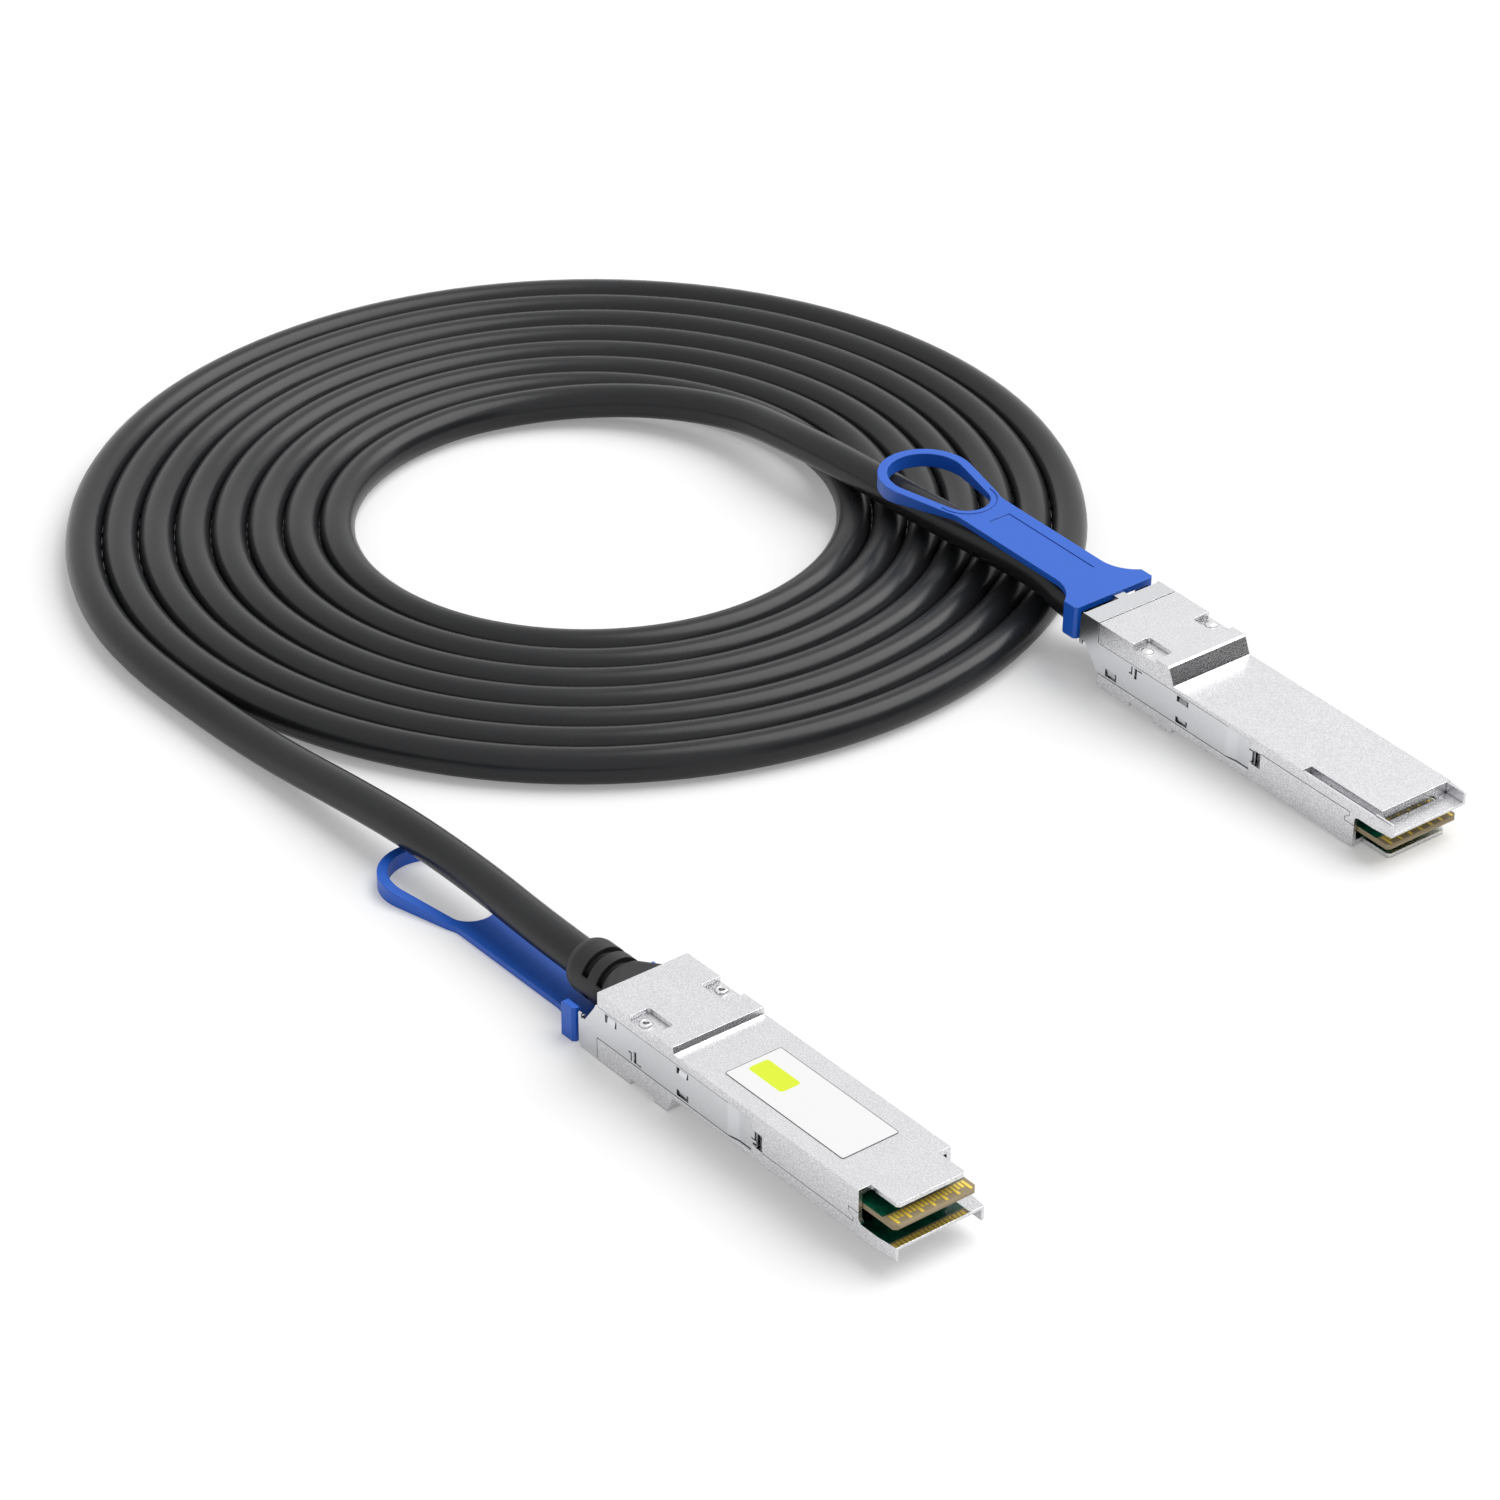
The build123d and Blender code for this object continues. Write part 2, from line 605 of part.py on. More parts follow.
# Pull tab: a strap that flares to two legs, and a teardrop finger loop
with BuildPart() as pull_tab:
    half_strap = tab_strap_width / 2
    half_flare = tab_flare_width / 2
    loop_start_x = loop_front_centre_x
    with BuildSketch() as loop_outline:
        with Locations((loop_rear_centre_x, 0)):
            Circle(loop_rear_radius + loop_band)
        with Locations((loop_front_centre_x, 0)):
            Circle(loop_front_radius + loop_band)
        make_hull()
    with BuildSketch() as tab_outline:
        with BuildLine():
            Line((loop_start_x, half_strap), (tab_flare_rear_x, half_strap))
            TangentArc((tab_flare_rear_x, half_strap), (tab_leg_rear_x, half_flare), tangent=(1, 0))
            Line((tab_leg_rear_x, half_flare), (tab_front_x, half_flare))
            Line((tab_front_x, half_flare), (tab_front_x, -half_flare))
            Line((tab_front_x, -half_flare), (tab_leg_rear_x, -half_flare))
            TangentArc((tab_flare_rear_x, -half_strap), (tab_leg_rear_x, -half_flare), tangent=(1, 0))
            Line((tab_flare_rear_x, -half_strap), (loop_start_x, -half_strap))
            Line((loop_start_x, -half_strap), (loop_start_x, half_strap))
        make_face()
        add(loop_outline.sketch)
        # The strap runs into the loop with a soft curve on each side
        loop_front_x = loop_front_centre_x + loop_front_radius + loop_band
        corners = tab_outline.vertices().filter_by_position(Axis.X, loop_start_x, loop_front_x)
        fillet(corners, radius=loop_fillet)
    extrude(tab_outline.sketch.moved(Location((0, 0, -heat_block_drop))), amount=loop_band_height)
    # The band grows from the strap's thickness to its full height at the rear
    above_ramp = side_profile([
        (loop_ramp_rear_x, loop_band_height - heat_block_drop),
        (loop_ramp_front_x, tab_thickness - heat_block_drop),
        (0, tab_thickness - heat_block_drop),
        (0, through),
        (loop_ramp_rear_x, through),
    ])
    extrude(above_ramp, amount=through, both=True, mode=Mode.SUBTRACT)
    with BuildSketch(Plane.XY.offset(-heat_block_drop)) as loop_hole:
        with Locations((loop_rear_centre_x, 0)):
            Circle(loop_rear_radius)
        with Locations((loop_front_centre_x, 0)):
            Circle(loop_front_radius)
        make_hull()
    extrude(amount=through, mode=Mode.SUBTRACT)
    both_sides((tab_leg_rear_x, tab_front_x), (half_flare - tab_leg_thickness, half_flare),
               (-heat_block_drop, tab_leg_height - heat_block_drop))
    front_corners = pull_tab.edges().filter_by(Axis.Z).group_by(Axis.X)[-1].sort_by(Axis.Y)
    chamfer([front_corners[0], front_corners[-1]], length=tab_corner_chamfer)
    leg_edges = pull_tab.edges().filter_by(Axis.Y).group_by(Axis.Z)[-1]
    fillet(leg_edges.group_by(Axis.X)[0], radius=tab_leg_fillet)
    # Thin engraved corner line on the outer face, and a crease round the front of the loop
    engraving = (-heat_block_drop, -heat_block_drop + engraving_depth)
    block((engraving_rear_x, engraving_front_x),
          (engraving_near_y - engraving_width / 2, engraving_near_y + engraving_width / 2),
          engraving, Mode.SUBTRACT)
    block((engraving_rear_x, engraving_rear_x + engraving_width), (engraving_near_y, engraving_far_y),
          engraving, Mode.SUBTRACT)
    crease_radius = loop_front_radius + loop_lip
    with BuildSketch(Plane.XY.offset(-heat_block_drop)) as crease:
        with Locations((loop_front_centre_x, 0)):
            Circle(crease_radius)
            Circle(crease_radius - engraving_width, mode=Mode.SUBTRACT)
            Rectangle(crease_radius, 2 * crease_radius, align=(Align.MIN, Align.CENTER),
                      mode=Mode.INTERSECT)
    extrude(amount=engraving_depth, mode=Mode.SUBTRACT)
    # The slider's tongue is moulded in
    add(latch_slider.part, mode=Mode.SUBTRACT)


# Paddle card, with a narrower rear part between the walls
with BuildPart() as paddle_card:
    with BuildSketch(Plane.XY.offset(card_bottom_z)):
        with BuildLine():
            Polyline(
                (card_rear_x, card_rear_width / 2),
                (card_shoulder_x, card_rear_width / 2),
                (card_shoulder_x, card_width / 2),
                (card_front_x, card_width / 2),
                (card_front_x, -card_width / 2),
                (card_shoulder_x, -card_width / 2),
                (card_shoulder_x, -card_rear_width / 2),
                (card_rear_x, -card_rear_width / 2),
                close=True,
            )
        make_face()
    extrude(amount=card_thickness)
    front_edges = paddle_card.edges().filter_by(Axis.Y).group_by(Axis.X)[-1]
    chamfer(front_edges, length=card_nose_chamfer)
    corner_edges = paddle_card.edges().filter_by(Axis.Z).group_by(Axis.X)[-1]
    chamfer(corner_edges, length=card_corner_chamfer)


# Gold pads on both faces, every third one longer
with BuildPart() as contact_pads:
    for z_low in (card_top_z, card_bottom_z - pad_thickness):
        for index in range(pad_count):
            long_pad = index % pads_per_group == 0
            front_x = pad_long_front_x if long_pad else pad_short_front_x
            pad_y = (index - (pad_count - 1) / 2) * pad_pitch
            block((pad_rear_x, front_x), (pad_y - pad_width / 2, pad_y + pad_width / 2),
                  (z_low, z_low + pad_thickness))


# Memory chip on the card
with BuildPart() as memory_chip:
    block((chip_x - chip_size / 2, chip_x + chip_size / 2), (-chip_size / 2, chip_size / 2),
          (card_top_z, card_top_z + chip_height))
    chamfer(memory_chip.faces().sort_by(Axis.Z)[-1].edges(), length=0.2)


# Rivets: dome head on the heat sink side, hollow flared end on the label side
with BuildPart() as rivets:
    for x, y in rivet_places():
        head_z = recess_depth - heat_block_drop
        flare_z = label_block_z - recess_depth
        with BuildSketch(Plane.XY.offset(head_z)):
            with Locations((x, y)):
                Circle(rivet_radius - boot_gap)
        extrude(amount=flare_z - head_z)
        with BuildSketch(Plane.XY.offset(head_z - rivet_head_height)):
            with Locations((x, y)):
                Circle(rivet_head_radius)
        extrude(amount=rivet_head_height)
        with BuildSketch(Plane.XY.offset(flare_z)):
            with Locations((x, y)):
                Circle(rivet_head_radius)
                Circle(rivet_flare_bore, mode=Mode.SUBTRACT)
        extrude(amount=rivet_head_height)
    dome_edges = rivets.edges().filter_by(GeomType.CIRCLE).group_by(Axis.Z)[0]
    chamfer(dome_edges, length=rivet_head_chamfer)


# Strain relief boot: a round collar with slits, a flare, and a flange behind the wall
with BuildPart() as strain_relief:
    with BuildSketch(Plane.XZ):
        with BuildLine():
            rear = (boot_rear_x, cable_axis_z + boot_rear_radius)
            shoulder = (boot_rear_x + boot_shoulder_length, cable_axis_z + boot_radius)
            front = (boot_flare_start_x, cable_axis_z + boot_radius)
            Line((boot_rear_x, cable_axis_z), rear)
            TangentArc(shoulder, rear, tangent=(-1, 0))
            Line(shoulder, front)
            Line(front, (boot_flare_start_x, cable_axis_z))
            Line((boot_flare_start_x, cable_axis_z), (boot_rear_x, cable_axis_z))
        make_face()
    revolve(axis=Axis((0, 0, cable_axis_z), (1, 0, 0)))
    for slit_x in (boot_first_slit_x, boot_second_slit_x):
        with BuildSketch(Plane.YZ.offset(slit_x)):
            with Locations((0, cable_axis_z)):
                Rectangle(2 * boot_slit_half_width, 3 * boot_radius)
                Circle(boot_slit_bottom_radius, mode=Mode.SUBTRACT)
        extrude(amount=boot_slit_width, mode=Mode.SUBTRACT)
    with BuildSketch(Plane.YZ.offset(boot_flare_start_x)):
        with Locations((0, cable_axis_z)):
            RectangleRounded(2 * boot_radius, 2 * boot_radius, boot_radius - 0.6)
    with BuildSketch(Plane.YZ.offset(boot_flare_end_x)):
        with Locations((0, cable_axis_z)):
            RectangleRounded(boot_collar_width, boot_collar_height, boot_corner_radius)
    loft()
    with BuildSketch(Plane.YZ.offset(boot_flare_end_x)):
        with Locations((0, cable_axis_z)):
            RectangleRounded(boot_collar_width, boot_collar_height, boot_corner_radius)
    extrude(amount=heat_block_rear_x - boot_gap - boot_flare_end_x)
    neck_x = heat_block_rear_x - boot_gap
    with BuildSketch(Plane.YZ.offset(neck_x)):
        with Locations((0, cable_axis_z)):
            Rectangle(boot_neck_width, boot_neck_height)
    extrude(amount=boot_flange_start_x - neck_x)
    with BuildSketch(Plane.YZ.offset(boot_flange_start_x)):
        with Locations((0, cable_axis_z)):
            Rectangle(boot_flange_width, boot_neck_height)
    extrude(amount=boot_flange_end_x - boot_flange_start_x)


# Crimp ferrule round the braid
with BuildPart() as crimp_ferrule:
    with BuildSketch(Plane.YZ.offset(ferrule_rear_x)):
        with Locations((0, cable_axis_z)):
            Circle(ferrule_outer_radius)
            Circle(ferrule_inner_radius, mode=Mode.SUBTRACT)
    extrude(amount=ferrule_length)


# Conductor pairs: eight, from the ferrule to both faces of the card
with BuildPart() as conductor_pairs:
    for row, card_z in ((1, card_top_z + pair_size / 2), (-1, card_bottom_z - pair_size / 2)):
        for index in range(pairs_per_row):
            place = index - (pairs_per_row - 1) / 2
            bundle_spot = (place * pair_bundle_pitch, cable_axis_z + row * pair_bundle_pitch / 2)
            card_spot = (place * pair_card_pitch, card_z)
            stations = (
                (pair_rear_x, bundle_spot),
                (pair_bend_x, bundle_spot),
                (pair_fan_x, card_spot),
                (pair_front_x, card_spot),
            )
            for x, spot in stations:
                with BuildSketch(Plane.YZ.offset(x)):
                    with Locations(spot):
                        RegularPolygon(pair_size / 2, 8, major_radius=False, rotation=22.5)
            loft(ruled=True)


# Return springs: the wire's helix is drawn in short straight steps
with BuildPart() as return_springs:
    coil_height = spring_length - spring_wire
    for side in (1, -1):
        start = (spring_pocket_rear_x + spring_wire / 2, side * spring_y, spring_z)
        steps = spring_turns * spring_points_per_turn
        points = []
        for step in range(steps + 1):
            angle = 2 * pi * step / spring_points_per_turn
            points.append((start[0] + coil_height * step / steps,
                           start[1] + spring_radius * cos(angle),
                           start[2] + spring_radius * sin(angle)))
        with BuildLine():
            wire = Polyline(*points)
        with BuildSketch(Plane(origin=wire @ 0, z_dir=wire % 0)):
            RegularPolygon(spring_wire / 2, 4)
        sweep(path=wire, transition=Transition.RIGHT)


# Where the two modules lie: a is label side up, b is rolled over and rests on
# its nose and its rear block, because the cable lifts its rear
pitch = radians(module_b_pitch)
module_a_z = heat_block_drop
module_b_z = label_face_z * cos(pitch) + tongue_front_x * sin(pitch)
places = {
    "a": Location((0, 0, module_a_z)),
    "b": Location((module_b_x, module_b_y, module_b_z), (0, module_b_pitch, 0))
    * Location((0, 0, 0), (180, 0, 0)),
}
module_pieces = {
    "label_cover": label_cover,
    "heat_sink_shell": heat_sink_shell,
    "latch_slider": latch_slider,
    "pull_tab": pull_tab,
    "paddle_card": paddle_card,
    "contact_pads": contact_pads,
    "memory_chip": memory_chip,
    "rivets": rivets,
    "strain_relief": strain_relief,
    "crimp_ferrule": crimp_ferrule,
    "conductor_pairs": conductor_pairs,
    "return_springs": return_springs,
}
both_modules = Compound([piece.part.moved(place) for piece in (pull_tab, heat_sink_shell)
                         for place in places.values()])
box = both_modules.bounding_box()
to_origin = Location((-box.center().X, -box.center().Y, 0))

for end, place in places.items():
    for name, piece in module_pieces.items():
        placed = piece.part.moved(to_origin * place)
        placed.label = f"{name}_{end}"
        export_step(placed, f"parts/{name}_{end}.step")


# The cable. Its spiral is measured from the spiral's own centre
centre_x = coil_centre_x - box.center().X
centre_y = coil_centre_y - box.center().Y


def turn_radius(turns):
    """Radius of the cable's middle line after so many turns."""
    return coil_start_radius + coil_pitch * turns


def spiral_edge(first_half_turn, last_half_turn, offset):
    """Half-turn arcs from the top (even) or the bottom (odd) of the spiral."""
    for half_turn in range(first_half_turn, last_half_turn):
        radius = turn_radius(half_turn / 2 + 0.25) + offset
        if half_turn % 2 == 0:
            CenterArc((0, -coil_pitch / 4), radius, 90, 180)
        else:
            CenterArc((0, coil_pitch / 4), radius, -90, 180)


coil_plane = Plane(origin=(centre_x, centre_y, 0))
last_half = 2 * coil_whole_turns + 1
outer_end = turn_radius(coil_turns) + cable_radius
outer_step = turn_radius(coil_turns - 1) + cable_radius
with BuildPart() as cable_coil:
    with BuildSketch(coil_plane) as coil_outer:
        with BuildLine():
            spiral_edge(last_half - 2, last_half, cable_radius)
            Line((0, -outer_end), (0, -outer_step))
        make_face()
    extrude(amount=cable_diameter)
    # The inner edge starts a quarter turn late, where the lead comes down
    first_radius = turn_radius(0.25) - cable_radius
    third_radius = turn_radius(1.25) - cable_radius
    with BuildSketch(coil_plane) as coil_inner:
        with BuildLine():
            CenterArc((0, -coil_pitch / 4), first_radius, 180, 90)
            CenterArc((0, coil_pitch / 4), turn_radius(0.75) - cable_radius, -90, 180)
            CenterArc((0, -coil_pitch / 4), third_radius, 90, 90)
            Line((-third_radius, -coil_pitch / 4), (-first_radius, -coil_pitch / 4))
        make_face()
    extrude(amount=cable_diameter, mode=Mode.SUBTRACT)
    round_edges = cable_coil.edges().filter_by(GeomType.CIRCLE)
    chamfer(round_edges.filter_by(lambda edge: edge.radius > outer_step - coil_pitch),
            length=coil_edge_chamfer)
cable_coil.part.label = "cable_coil"
export_step(cable_coil.part, "parts/cable_coil.step")


# Routes of the two leads. Each point is chosen by hand: x and y from the
# module's rear of cover or from the spiral's centre, z above the floor
exit_a = (-box.center().X, -box.center().Y)
route_a = [
    (exit_a[0] + boot_rear_x, exit_a[1], module_a_z + cable_axis_z),
    (exit_a[0] - 27, exit_a[1], module_a_z + cable_axis_z),
    (exit_a[0] - 45, exit_a[1] + 1.1, 7.2),
    (exit_a[0] - 66, exit_a[1] + 0.9, 7.1),
    (exit_a[0] - 84, exit_a[1] + 0.2, 5.9),
    (exit_a[0] - 103, exit_a[1] - 0.6, 4.1),
    (centre_x + 18, centre_y - turn_radius(coil_turns), cable_radius),
    (centre_x, centre_y - turn_radius(coil_turns), cable_radius),
]
exit_b = (exit_a[0] + module_b_x, exit_a[1] + module_b_y)
boot_b = places["b"] * Location((boot_rear_x, 0, cable_axis_z))
past_boot_b = places["b"] * Location((boot_rear_x - 3, 0, cable_axis_z))
route_b = [
    (exit_a[0] + boot_b.position.X, exit_b[1], boot_b.position.Z),
    (exit_a[0] + past_boot_b.position.X, exit_b[1], past_boot_b.position.Z),
    (exit_b[0] - 25.6, exit_b[1] - 0.1, 10.24),
    (exit_b[0] - 39, exit_b[1] - 0.4, 10.2),
    (exit_b[0] - 58, exit_b[1] - 1.0, 10.24),
    (exit_b[0] - 79, exit_b[1] - 1.1, 10.2),
    (exit_b[0] - 97, exit_b[1] - 1.2, 8.9),
    (centre_x - 9.2, centre_y + coil_start_radius, 7.0),
    (centre_x - 26.2, centre_y + 37.4, 5.3),
    (centre_x - 39.2, centre_y + 24.4, 4.0),
    (centre_x - turn_radius(0.25), centre_y + 7.5, cable_radius),
    (centre_x - turn_radius(0.25), centre_y - coil_pitch / 4, cable_radius),
]


def bend_radii(points):
    """As large an arc at each corner as its two runs allow."""
    radii = []
    for before, corner, after in zip(points, points[1:], points[2:]):
        run_in = Vector(corner) - Vector(before)
        run_out = Vector(after) - Vector(corner)
        half_turn = radians(run_in.get_angle(run_out)) / 2
        radii.append(0.45 * min(run_in.length, run_out.length) / tan(half_turn))
    return radii


def lead(points, name):
    """A plain round tube along straight runs joined by tangent arcs."""
    radii = bend_radii(points)
    with BuildPart() as tube:
        with BuildLine():
            route = FilletPolyline(*points, radius=radii)
        with BuildSketch(Plane(origin=route @ 0, z_dir=route % 0)):
            Circle(cable_radius)
        sweep(path=route)
    tube.part.label = name
    export_step(tube.part, f"parts/{name}.step")
    print(name, "length", round(route.length, 1), "volume", round(tube.part.volume, 1),
          "section times length", round(pi * cable_radius**2 * route.length, 1))
    print(name, "bend radii", [round(radius, 1) for radius in radii])
    return route.length


print("module origins", [(round(c.X, 4), round(c.Y, 4), round(c.Z, 4)) for c in
                         ((to_origin * place).position for place in places.values())])
length_a = lead(route_a, "cable_lead_a")
length_b = lead(route_b, "cable_lead_b")
coil_length = sum(pi * turn_radius(half_turn / 2 + 0.25) for half_turn in range(1, last_half))
coil_length += pi / 2 * turn_radius(0.25)
print("coil length", round(coil_length, 1), "cable length", round(coil_length + length_a + length_b, 1))
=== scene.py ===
import json
import math

import bmesh
import bpy
from mathutils import Matrix, Vector


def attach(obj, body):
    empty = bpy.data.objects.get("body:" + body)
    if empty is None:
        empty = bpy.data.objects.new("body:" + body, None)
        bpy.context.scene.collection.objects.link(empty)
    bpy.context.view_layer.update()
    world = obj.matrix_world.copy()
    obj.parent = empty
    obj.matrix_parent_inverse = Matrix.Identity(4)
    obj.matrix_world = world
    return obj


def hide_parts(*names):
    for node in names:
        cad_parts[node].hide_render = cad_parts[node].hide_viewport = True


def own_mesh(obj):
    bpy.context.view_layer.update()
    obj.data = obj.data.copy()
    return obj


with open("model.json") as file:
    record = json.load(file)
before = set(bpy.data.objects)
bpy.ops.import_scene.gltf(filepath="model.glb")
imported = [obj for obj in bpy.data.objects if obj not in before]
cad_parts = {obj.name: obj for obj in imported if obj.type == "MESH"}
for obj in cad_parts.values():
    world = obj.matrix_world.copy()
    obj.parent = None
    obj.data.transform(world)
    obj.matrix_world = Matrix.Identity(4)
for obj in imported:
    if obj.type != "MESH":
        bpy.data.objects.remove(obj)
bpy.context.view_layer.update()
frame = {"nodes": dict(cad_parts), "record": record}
record = frame["record"]
nodes = frame["nodes"]
scene = bpy.context.scene
mm = 0.001
fixedBody = "cable_and_modules"
ends = ("a", "b")
print("frame loaded:", len(nodes), "nodes")


# Each module's own frame, taken from its mounts: X to the contact edge, Z to the label side
moduleFrame = {"noseX": 74.7 * mm, "middleZ": 4.25 * mm}


def mountNamed(name):
    return next(mount for mount in record["mounts"] if mount["name"] == name)


def moduleMatrix(end):
    nose = mountNamed("insertion_" + end)
    xAxis = Vector(nose["axis"]).normalized()
    zAxis = -Vector(mountNamed("heat_pad_" + end)["axis"]).normalized()
    yAxis = zAxis.cross(xAxis)
    origin = Vector(nose["pos_m"]) - moduleFrame["noseX"] * xAxis
    origin = origin - moduleFrame["middleZ"] * zAxis
    turn = Matrix((xAxis, yAxis, zAxis)).transposed()
    return Matrix.Translation(origin) @ turn.to_4x4()


modules = {end: moduleMatrix(end) for end in ends}


# Camera: fitted to both modules in the photograph
camera = {
    "place": (0.58144, -0.49590, 0.49054),
    "looksAlong": (-0.66823, 0.52869, -0.52350),
    "focalLength": 127.06,
    "sensorWidth": 36.0,
    "clipNear": 0.05,
    "clipFar": 50.0,
}


def makeCamera():
    data = bpy.data.cameras.new("camera")
    data.lens = camera["focalLength"]
    data.sensor_width = camera["sensorWidth"]
    data.clip_start = camera["clipNear"]
    data.clip_end = camera["clipFar"]
    holder = bpy.data.objects.new("camera", data)
    scene.collection.objects.link(holder)
    holder.location = camera["place"]
    holder.rotation_euler = Vector(camera["looksAlong"]).to_track_quat("-Z", "Y").to_euler()
    scene.camera = holder


makeCamera()
print("camera placed")


# The cable: one smooth line from module a, inwards through the turns, over them to module b
cable = {
    "diameter": 6.77 * mm,
    "length": 3.5115,
    "coilCentre": (-125.708 * mm, 24.25 * mm),
    "startRadius": 44.5 * mm,
    "pitch": 6.79 * mm,
    "pointsPerTurn": 24,
    "outerTurn": 7.5,
    "innerTurn": 0.25,
    "startAngle": 90.0,
    "roundness": 6,
    "stepsPerSpan": 5,
}
cableFromA = [  # in mm, from inside module a to the outermost turn
    (-0.708, -69.90, 7.40),
    (-11.908, -69.90, 7.40),
    (-29.908, -68.80, 7.20),
    (-50.908, -69.00, 7.10),
    (-68.908, -69.70, 5.90),
    (-87.908, -70.50, 4.10),
    (-107.708, -71.175, 3.385),
]
cableToB = [  # in mm, from the innermost turn, over the others, into module b
    (-171.906, 31.75, 3.385),
    (-164.908, 48.65, 4.00),
    (-151.908, 61.65, 5.30),
    (-134.908, 68.75, 7.00),
    (-118.258, 68.30, 8.90),
    (-100.258, 68.20, 10.20),
    (-79.258, 68.30, 10.24),
    (-60.258, 69.10, 10.20),
    (-46.858, 69.80, 10.24),
    (-40.183, 69.90, 7.787),
    (-37.185, 69.90, 7.682),
]


def makeCable():
    points = [Vector(point) * mm for point in cableFromA]
    tubeRadius = cable["diameter"] / 2
    centreX, centreY = cable["coilCentre"]
    count = cable["pointsPerTurn"]
    outward = 1 / math.cos(math.pi / count)  # the line runs a little inside its control points
    steps = int((cable["outerTurn"] - cable["innerTurn"]) * count)
    for step in range(steps):
        turn = cable["outerTurn"] - (step + 0.5) / count
        angle = math.radians(cable["startAngle"] + 360 * turn)
        radius = (cable["startRadius"] + cable["pitch"] * turn) * outward
        points.append(Vector((centreX + radius * math.cos(angle),
                              centreY + radius * math.sin(angle), tubeRadius)))
    points += [Vector(point) * mm for point in cableToB]
    curve = bpy.data.curves.new("cable", "CURVE")
    curve.dimensions = "3D"
    spline = curve.splines.new("NURBS")
    spline.points.add(len(points) - 1)
    for slot, point in zip(spline.points, points):
        slot.co = (*point, 1)
        slot.radius = tubeRadius  # with a bevel depth of 1, so that the bounds are the tube's
    spline.order_u = 3
    spline.use_endpoint_u = True
    spline.resolution_u = cable["stepsPerSpan"]
    curve.bevel_depth = 1.0
    curve.bevel_resolution = cable["roundness"]
    curve.use_fill_caps = True
    piece = bpy.data.objects.new("cable", curve)
    scene.collection.objects.link(piece)
    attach(piece, fixedBody)
    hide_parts("cable_coil", "cable_lead_a", "cable_lead_b")
    return piece


cablePiece = makeCable()
print("cable laid")


# Ray count for the painted seam shade (ambient occlusion) and for the rounded edges
edgeSamples = 6  # rays for seams and rounded edges


class Wire:  # a socket that can be used in sums
    def __init__(self, bench, socket):
        self.bench = bench
        self.socket = socket

    def __add__(self, other):
        return self.bench.sum("ADD", self, other)

    def __radd__(self, other):
        return self.bench.sum("ADD", other, self)

    def __sub__(self, other):
        return self.bench.sum("SUBTRACT", self, other)

    def __rsub__(self, other):
        return self.bench.sum("SUBTRACT", other, self)

    def __mul__(self, other):
        return self.bench.sum("MULTIPLY", self, other)

    def __rmul__(self, other):
        return self.bench.sum("MULTIPLY", other, self)

    def __truediv__(self, other):
        return self.bench.sum("DIVIDE", self, other)

    def __gt__(self, other):
        return self.bench.sum("GREATER_THAN", self, other)

    def __lt__(self, other):
        return self.bench.sum("LESS_THAN", self, other)

    def __abs__(self):
        return self.bench.sum("ABSOLUTE", self)


class Bench:  # one tree of nodes: a material's, or one that makes geometry
    def __init__(self, name, makesGeometry=False):
        if makesGeometry:
            self.tree = bpy.data.node_groups.new(name, "GeometryNodeTree")
            return
        self.material = bpy.data.materials.new(name)
        self.material.use_nodes = True
        self.tree = self.material.node_tree
        self.tree.nodes.clear()
        self.output = self.tree.nodes.new("ShaderNodeOutputMaterial")

    def node(self, kind, settings=None, inputs=None, take=0):
        made = self.tree.nodes.new(kind)
        for name, value in (settings or {}).items():
            setattr(made, name, value)
        for name, value in (inputs or {}).items():
            if isinstance(value, Wire):
                self.tree.links.new(value.socket, made.inputs[name])
            elif isinstance(value, list):
                for wire in value:
                    self.tree.links.new(wire.socket, made.inputs[name])
            else:
                made.inputs[name].default_value = value
        return Wire(self, made.outputs[take])

    def sum(self, operation, first, second=None):
        inputs = {0: first} if second is None else {0: first, 1: second}
        return self.node("ShaderNodeMath", {"operation": operation}, inputs)

    def blend(self, factor, first, second):  # 6, 7 and 2 are a Mix node's colour sockets
        return self.node("ShaderNodeMix", {"data_type": "RGBA"},
                         {0: factor, 6: first, 7: second}, 2)

    def objectPlace(self):
        return self.node("ShaderNodeTexCoord", take="Object")

    def modulePlace(self, end):
        inverse = modules[end].inverted()
        return self.node("ShaderNodeMapping", {"vector_type": "POINT"}, {
            "Vector": self.objectPlace(),
            "Location": inverse.to_translation(),
            "Rotation": inverse.to_euler(),
        })

    def join(self, x, y, z):
        return self.node("ShaderNodeCombineXYZ", None, {0: x, 1: y, 2: z})

    def split(self, vector):
        parts = self.node("ShaderNodeSeparateXYZ", None, {0: vector})
        made = parts.socket.node
        return [Wire(self, made.outputs[index]) for index in range(3)]

    def noise(self, place, sizes):
        return self.node("ShaderNodeTexNoise", {"noise_dimensions": "3D"},
                         {"Vector": place, **sizes})

    def ramp(self, value, low, high, bottom=0.0, top=1.0):
        return self.node("ShaderNodeMapRange", {"clamp": True}, {
            "Value": value, "From Min": low, "From Max": high, "To Min": bottom, "To Max": top})

    def bump(self, height, sizes, normal=None):
        inputs = {"Height": height, **sizes}
        if normal is not None:
            inputs["Normal"] = normal
        return self.node("ShaderNodeBump", None, inputs)

    # Painted shade: ambient occlusion, from nearby parts and the floor too, read here to darken
    # base colours
    def paintedShadeOcclusion(self, reach):  # 1 on a free face, less in a seam
        return self.node("ShaderNodeAmbientOcclusion",
                         {"samples": edgeSamples, "only_local": False}, {"Distance": reach}, 1)

    def roundEdges(self, radius):
        return self.node("ShaderNodeBevel", {"samples": edgeSamples}, {"Radius": radius})

    def finish(self, inputs):
        shader = self.node("ShaderNodeBsdfPrincipled", None, inputs)
        self.tree.links.new(shader.socket, self.output.inputs["Surface"])
        return self.material


def colour(red, green, blue):
    return (red, green, blue, 1.0)


# Painted shade: the near-black that ambient occlusion lays into the metals' base colour in seams,
# crevices and beside other parts
paintedShadeTone = colour(0.05, 0.05, 0.055)
